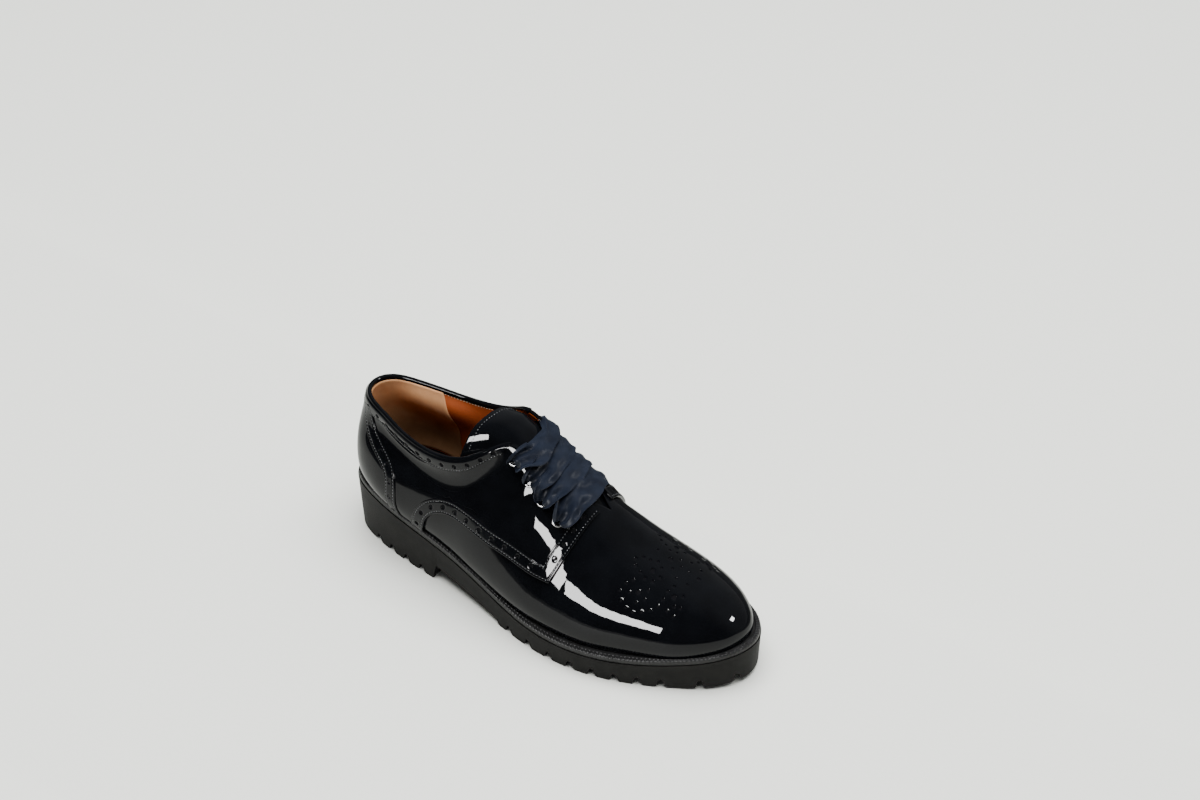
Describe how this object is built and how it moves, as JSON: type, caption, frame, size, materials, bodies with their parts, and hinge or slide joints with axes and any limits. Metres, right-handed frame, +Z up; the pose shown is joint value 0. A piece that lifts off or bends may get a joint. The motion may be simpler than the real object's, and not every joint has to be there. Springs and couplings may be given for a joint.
{
  "type": "lace-up derby shoe",
  "caption": "Right lace-up derby shoe in glossy dark leather with punched edges, flat ribbon lacing through metal eyelets, and a thick lugged rubber sole with a low heel.",
  "frame": {"origin": "middle of the sole's outline, on the ground", "axes": "+X towards the toe, +Y towards the inner side of the foot, +Z up"},
  "size_m": [0.2896, 0.1058, 0.1235],
  "materials": {
    "leather": "mirror gloss patent, near-black navy",
    "sole": "matt",
    "welt": "satin",
    "insole": "plain, orange tan",
    "ribbon": "satin ribbon, navy",
    "eyelet": "dark nickel"
  },
  "bodies": {
    "root": {"outsole": "sole", "welt": "welt", "insole": "insole", "upper": "leather", "tongue": "leather", "quarter_lateral": "leather", "quarter_medial": "leather", "counter": "leather", "collar_band": "leather", "eyelet_lateral_1": "eyelet", "eyelet_lateral_2": "eyelet", "eyelet_lateral_3": "eyelet", "eyelet_lateral_4": "eyelet", "eyelet_medial_1": "eyelet", "eyelet_medial_2": "eyelet", "eyelet_medial_3": "eyelet", "eyelet_medial_4": "eyelet", "lace_bar_1": "ribbon", "lace_bar_2": "ribbon", "lace_bar_3": "ribbon", "lace_bar_4": "ribbon"}
  },
  "joints": []
}
